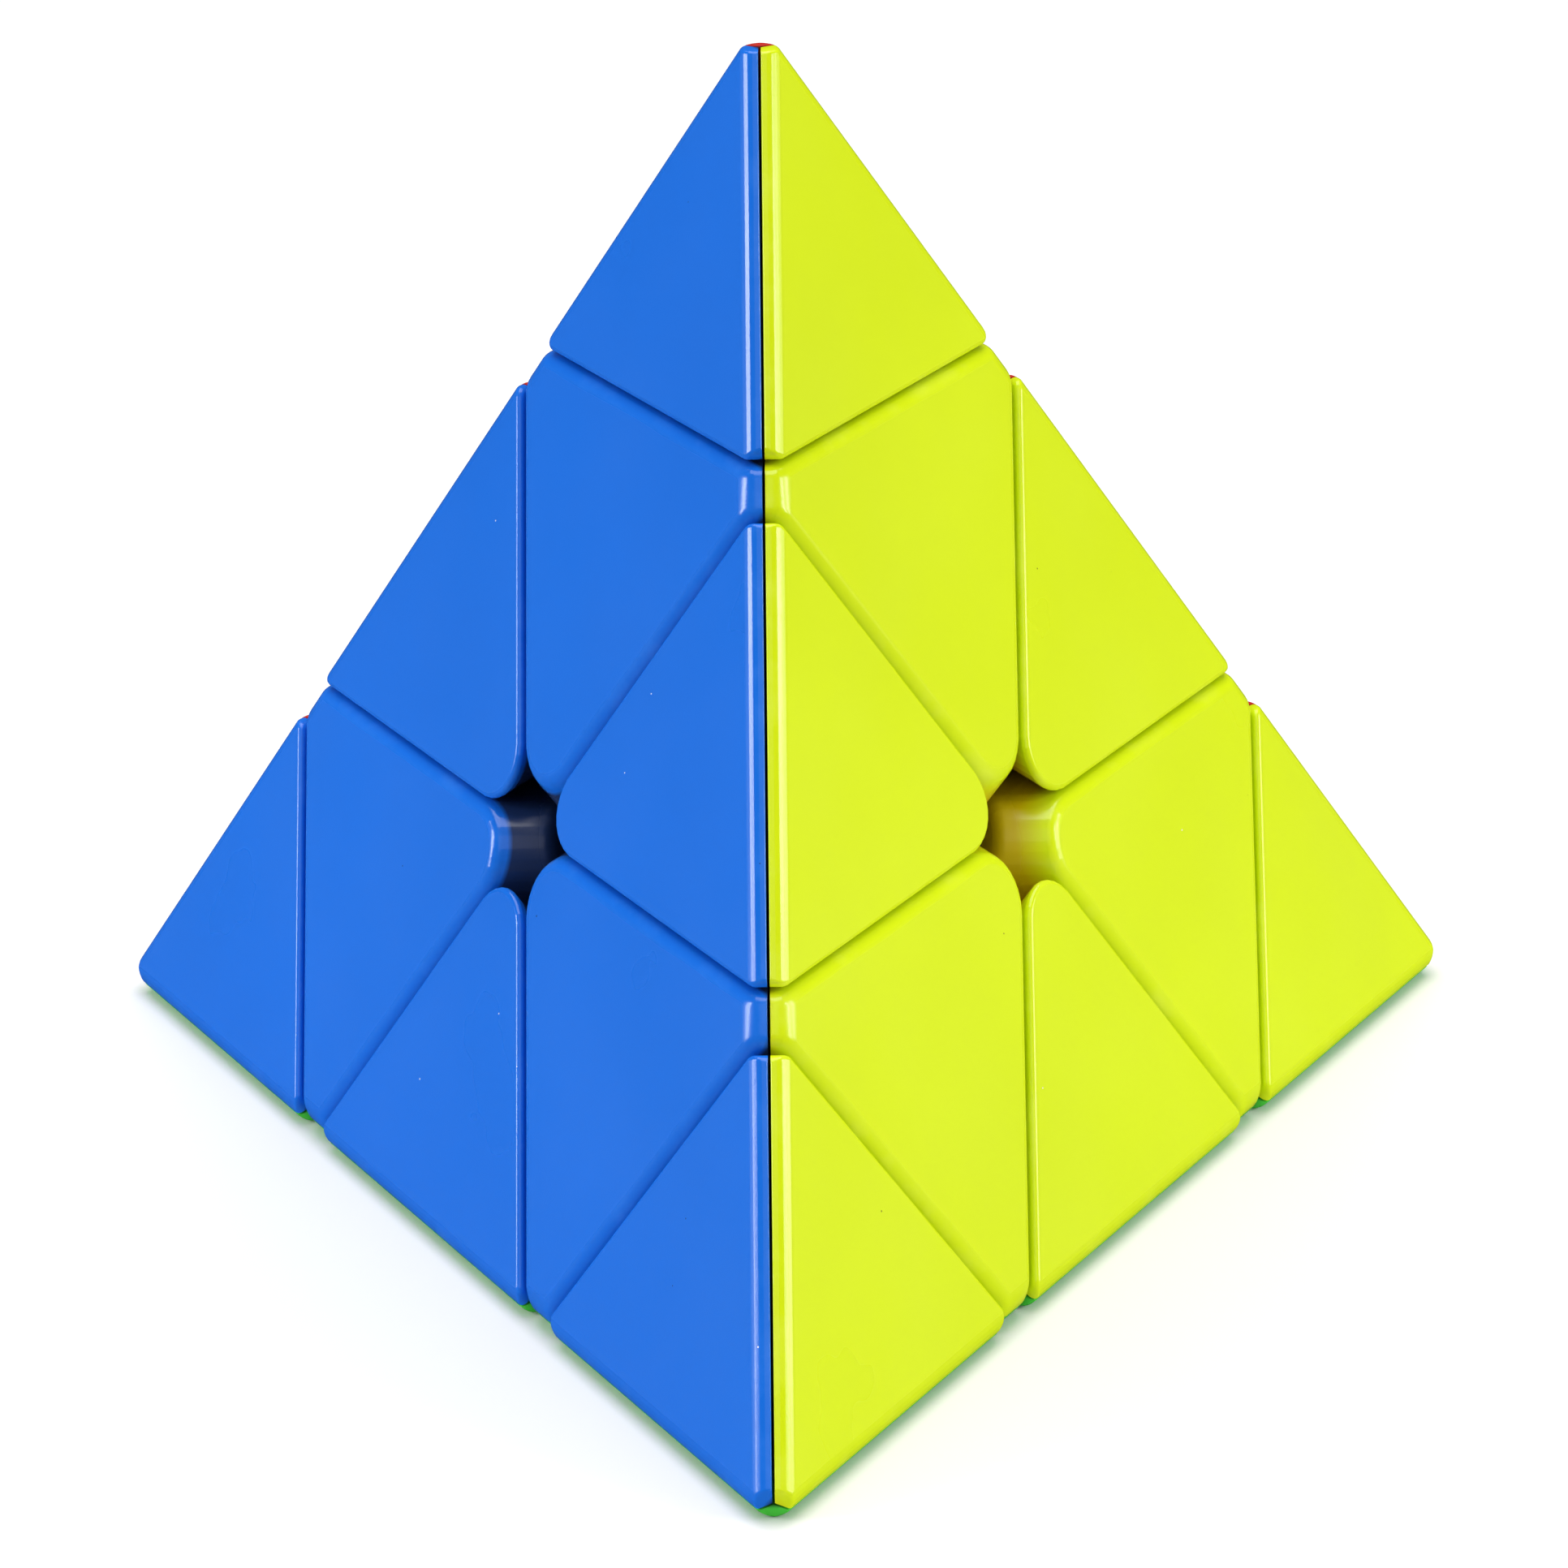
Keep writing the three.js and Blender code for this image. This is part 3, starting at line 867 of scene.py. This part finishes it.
# Noise scales are in cells to the metre. Specks are a scale and a radius. Heights and radii are in
# metres.
FLAT_ROUGHNESS = 0.3
RIM_ROUGHNESS = 0.15
SMEAR_ROUGHNESS = 0.03
CLOUD_SCALE = 38
RUB_SCALE = 260
SMEAR_SCALE = 90
GRAIN_SCALE = 9000
GRAIN_HEIGHT = 0.000012
GRAIN_STRENGTH = 0.35
SPECULAR_LEVEL = 0.45
CLOUD_SHADES = (0.965, 1.03)
DARK_SHADE = 0.25
DARK_SPECKS = (240, 0.00007)
PALE_SPECKS = (210, 0.00006)
DUST = (0.8, 0.82, 0.85, 1)


def moulded_plastic(name, colour, worn, inside, lip):
    """Satin on the flats, glossier on the rounds, with fine grain, specks and rubbed edges.

    Below the lip, a pair of depths in millimetres, the sides take the inside colour, which is painted
    shade for the shadow that falls deep between the pieces.
    """
    graph = Graph(name, FLAT_ROUGHNESS)
    rims = graph.stored("rim")
    clouds = graph.ranged(graph.noise(CLOUD_SCALE, 3), 0.3, 0.7, 0, 1)
    base = graph.mix(clouds, *(shade(colour, factor) for factor in CLOUD_SHADES))
    patches = graph.ranged(graph.noise(RUB_SCALE, 4, 0.6), 0.5, 0.75, 0, 0.35)
    base = graph.mix(graph.calculate("MULTIPLY", rims, patches), base, (*worn, 1))
    base = graph.mix(graph.specks(*DARK_SPECKS), base, shade(colour, DARK_SHADE))
    base = graph.mix(graph.specks(*PALE_SPECKS), base, DUST)
    # Painted shade: below the lip the sides fade into the inside colour, a darker colour standing in for
    # the shadow deep between the pieces.
    base = graph.mix(graph.ranged(graph.stored("depth"), *lip, 0, 1), base, (*inside, 1))
    graph.put(graph.shader, "Base Color", base)
    finish = graph.ranged(rims, 0, 1, FLAT_ROUGHNESS, RIM_ROUGHNESS)
    smears = graph.ranged(graph.noise(SMEAR_SCALE, 3), 0.3, 0.7, -SMEAR_ROUGHNESS, SMEAR_ROUGHNESS)
    graph.put(graph.shader, "Roughness", graph.calculate("ADD", finish, smears))
    graph.bump(graph.noise(GRAIN_SCALE, 2, 0.6), GRAIN_HEIGHT, GRAIN_STRENGTH)
    graph.shader.inputs["Specular IOR Level"].default_value = SPECULAR_LEVEL
    return graph.material


def inner_plastic():
    """Dark moulded plastic with a thin film of grease in places."""
    graph = Graph("inner_plastic_looks", 0.42)
    clouds = graph.ranged(graph.noise(60, 3), 0.3, 0.7, 0, 1)
    base = graph.mix(clouds, (0.008, 0.010, 0.018, 1), (0.014, 0.017, 0.028, 1))
    graph.put(graph.shader, "Base Color", base)
    film = graph.ranged(graph.noise(140, 4), 0.45, 0.6, 0.46, 0.26)
    graph.put(graph.shader, "Roughness", film)
    graph.bump(graph.noise(6000, 3, 0.6), 0.00001, 0.4)
    return graph.material


def steel(name, colour, roughness):
    """Plated steel with darker and duller patches and a fine grain."""
    graph = Graph(name, roughness, metallic=1.0)
    patches = graph.ranged(graph.noise(700, 4), 0.35, 0.65, 0, 1)
    graph.put(graph.shader, "Base Color", graph.mix(patches, shade(colour, 0.9), shade(colour, 1.05)))
    finish = graph.ranged(graph.noise(1500, 4), 0.3, 0.7, roughness - 0.06, roughness + 0.1)
    graph.put(graph.shader, "Roughness", finish)
    graph.bump(graph.noise(14000, 3, 0.6), 0.000006, 0.4)
    return graph.material


# Each inside colour is painted shade: a darker version of the face colour, and on yellow a deep gold
# that paints shade with yellow bounce light in it.
SHELL_PLASTIC = {
    "blue": moulded_plastic(
        "blue_plastic",
        colour=(0.0085, 0.160, 0.74),
        worn=(0.05, 0.24, 0.85),
        inside=(0.014, 0.034, 0.115),
        lip=(0.8, 1.1),
    ),
    "yellow": moulded_plastic(
        "yellow_plastic",
        colour=(0.70, 0.85, 0.006),
        worn=(0.85, 0.95, 0.10),
        inside=(0.64, 0.49, 0.002),
        lip=(0.6, 2.2),
    ),
    "green": moulded_plastic(
        "green_plastic",
        colour=(0.075, 0.62, 0.055),
        worn=(0.16, 0.75, 0.14),
        inside=(0.020, 0.15, 0.018),
        lip=(0.8, 1.1),
    ),
    "red": moulded_plastic(
        "red_plastic",
        colour=(0.62, 0.032, 0.022),
        worn=(0.75, 0.09, 0.07),
        inside=(0.18, 0.012, 0.009),
        lip=(0.8, 1.1),
    ),
}
INNER = inner_plastic()
SCREW_STEEL = steel("screw_steel", (0.62, 0.62, 0.63), 0.3)
SPRING_STEEL = steel("spring_steel", (0.50, 0.50, 0.52), 0.24)


# ---- Pieces ----
def finish_shading(mesh):
    """Smooth faces, with sharp edges kept sharp."""
    bm = bmesh.new()
    bm.from_mesh(mesh)
    bmesh.ops.remove_doubles(bm, verts=bm.verts, dist=WELD)
    bmesh.ops.dissolve_degenerate(bm, edges=bm.edges, dist=WELD)
    for face in bm.faces:
        face.smooth = True
    for edge in bm.edges:
        edge.smooth = len(edge.link_faces) == 2 and edge.calc_face_angle() < SHARP_ANGLE
    bm.to_mesh(mesh)
    bm.free()


def store(mesh, name, values):
    mesh.attributes.new(name, "FLOAT", "POINT").data.foreach_set("value", values)


def mark_rims(mesh, face):
    """Stores each point's depth below a shell's face, and how far it is from lying flat on it."""
    outward = Vector(-AXES[face])
    depths = [FACE - vertex.co.dot(outward) for vertex in mesh.vertices]
    tilts = [vertex.normal.angle(outward, 0) for vertex in mesh.vertices]
    rims = [min(1.0, tilt / RIM_TILT) if ON_FACE < depth < SHELL_WALL else 0.0
            for depth, tilt in zip(depths, tilts)]
    store(mesh, "depth", depths)
    store(mesh, "rim", rims)


def add_piece(mesh, node, body, material, rotation):
    """One finished piece in place of a CAD node."""
    own = mesh.copy()
    own.transform(Matrix.Scale(MM, 4) @ rotation)
    own.materials.clear()
    own.materials.append(material)
    piece = bpy.data.objects.new(node + "_fine", own)
    bpy.context.scene.collection.objects.link(piece)
    weighted = piece.modifiers.new("weighted_normals", "WEIGHTED_NORMAL")
    weighted.keep_sharp = True
    weighted.weight = 100
    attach(piece, body)
    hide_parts(node)


def add_shelled(name, built, rotation):
    """A body and its coloured shells."""
    body, shells = built
    add_piece(body, name + "_body", name, INNER, rotation)
    for face, mesh in shells.items():
        colour = COLOUR_OPPOSITE[lands_on(face, rotation)]
        node = f"{name}_shell_{colour}"
        add_piece(mesh, node, name, SHELL_PLASTIC[colour], rotation)


def prepared(built):
    """A body and its shells, with smooth shading and their rims marked."""
    body, shells = built
    finish_shading(body)
    for face, mesh in shells.items():
        finish_shading(mesh)
        mark_rims(mesh, face)
    return built


def assemble():
    tip, axial, edge = prepared(tip_piece()), prepared(axial_piece()), prepared(edge_piece())
    core, screw, spring = core_body(), screw_body(), spring_body()
    for mesh in (core, screw, spring):
        finish_shading(mesh)
    add_piece(core, "core", "core", INNER, Matrix.Identity(4))
    for corner in CORNERS:
        rotation = rotation_to(corner, any_other(corner))
        add_shelled("tip_" + corner, tip, rotation)
        add_shelled("axial_" + corner, axial, rotation)
        add_piece(screw, "screw_" + corner, "core", SCREW_STEEL, rotation)
        add_piece(spring, "spring_" + corner, "core", SPRING_STEEL, rotation)
    for a, b in pairs(CORNERS):
        add_shelled(f"edge_{a}_{b}", edge, rotation_to(a, b))


# ---- Stage, in metres, degrees and watts ----
FLOOR_RADIUS = 1.6
FLOOR_SEGMENTS = 96
FLOOR_FADE = (0.16, 0.40)  # the distances from the middle over which it fades out
FLOOR_DROP = 0.00002  # under the object, so that the two don't touch
FLOOR_TONES = ((0.94, 0.94, 0.94, 1), (0.96, 0.96, 0.96, 1))
WORLD_LIGHT = 0.17
WORLD_MIRRORED = 0.05
SOFTBOXES = [
    dict(name="left", azimuth=-81, elevation=22, distance=1.1, width=0.22, height=0.55, power=5.6),
    dict(name="right_near", azimuth=75, elevation=25, distance=1.1, width=0.11, height=0.55, power=2.8),
    dict(name="right_far", azimuth=90, elevation=18, distance=1.1, width=0.11, height=0.55, power=2.8),
    dict(name="front_fill", azimuth=0, elevation=48, distance=1.3, width=1.4, height=0.8, power=2.3),
    dict(name="overhead", azimuth=180, elevation=78, distance=1.2, width=1.2, height=1.2, power=14.0),
]


def add_floor():
    """A pale floor that fades out into the white beyond it."""
    bm = bmesh.new()
    bmesh.ops.create_circle(bm, cap_ends=True, segments=FLOOR_SEGMENTS, radius=FLOOR_RADIUS)
    bm.transform(Matrix.Translation((0, 0, cad_low.z - FLOOR_DROP)))
    floor = holder(mesh_from(bm))
    floor.name = "floor"
    floor.visible_glossy = False
    graph = Graph("pale_floor", 0.7)
    tone = graph.ranged(graph.noise(6, 2), 0.3, 0.7, 0, 1)
    graph.put(graph.shader, "Base Color", graph.mix(tone, *FLOOR_TONES))
    away = graph.add("ShaderNodeVectorMath", operation="LENGTH")
    graph.put(away, "Vector", graph.place)
    graph.put(graph.shader, "Alpha", graph.ranged(away.outputs["Value"], *FLOOR_FADE, 1, 0))
    floor.data.materials.append(graph.material)


def add_world():
    """White where it is seen, dimmer where it lights the object, dimmest where it is mirrored."""
    world = bpy.data.worlds.new("studio")
    bpy.context.scene.world = world
    world.use_nodes = True
    nodes, links = world.node_tree.nodes, world.node_tree.links
    background = nodes["Background"]
    background.inputs["Color"].default_value = (1, 1, 1, 1)
    path = nodes.new("ShaderNodeLightPath")
    mirrored, level = nodes.new("ShaderNodeMapRange"), nodes.new("ShaderNodeMapRange")
    mirrored.inputs["To Min"].default_value = WORLD_LIGHT
    mirrored.inputs["To Max"].default_value = WORLD_MIRRORED
    level.inputs["To Max"].default_value = 1.0
    links.new(path.outputs["Is Glossy Ray"], mirrored.inputs["Value"])
    links.new(mirrored.outputs["Result"], level.inputs["To Min"])
    links.new(path.outputs["Is Camera Ray"], level.inputs["Value"])
    links.new(level.outputs["Result"], background.inputs["Strength"])


def from_angles(azimuth, elevation, distance):
    """A point by its azimuth from -Y towards +X, its elevation, and its distance from the centre."""
    a, e = math.radians(azimuth), math.radians(elevation)
    return distance * Vector((math.sin(a) * math.cos(e), -math.cos(a) * math.cos(e), math.sin(e)))


def add_softbox(name, azimuth, elevation, distance, width, height, power):
    light = bpy.data.lights.new(name, "AREA")
    light.shape = "RECTANGLE"
    light.size = width
    light.size_y = height
    light.energy = power
    lamp = bpy.data.objects.new(name, light)
    lamp.location = from_angles(azimuth, elevation, distance)
    lamp.rotation_mode = "QUATERNION"
    lamp.rotation_quaternion = (-lamp.location).to_track_quat("-Z", "Y")
    bpy.context.scene.collection.objects.link(lamp)


# ---- Camera, in metres and degrees, with its lens and sensor in millimetres ----
CAMERA_AZIMUTH = 0.94
CAMERA_ELEVATION = 22.27
CAMERA_ROLL = -1.15
CAMERA_DISTANCE = 0.3953
CAMERA_LENS = 135.76
CAMERA_SENSOR = 36
CAMERA_CLIP = 0.01
AIM_RIGHT = 0.00061
AIM_UP = 0.00549


def add_camera():
    back = from_angles(CAMERA_AZIMUTH, CAMERA_ELEVATION, 1)
    right = (-back).cross(Vector((0, 0, 1))).normalized()
    up = right.cross(-back)
    place = back * CAMERA_DISTANCE + right * AIM_RIGHT + up * AIM_UP
    roll = math.radians(CAMERA_ROLL)
    side = right * math.cos(roll) + up * math.sin(roll)
    head = up * math.cos(roll) - right * math.sin(roll)
    camera = bpy.data.cameras.new("camera")
    camera.sensor_width = CAMERA_SENSOR
    camera.lens = CAMERA_LENS
    camera.clip_start = CAMERA_CLIP
    eye = bpy.data.objects.new("camera", camera)
    eye.matrix_world = Matrix.Translation(place) @ Matrix((side, head, back)).transposed().to_4x4()
    bpy.context.scene.collection.objects.link(eye)
    bpy.context.scene.camera = eye


add_camera()
add_world()
for softbox in SOFTBOXES:
    add_softbox(**softbox)
add_floor()
assemble()
bpy.context.scene.view_settings.view_transform = "Standard"
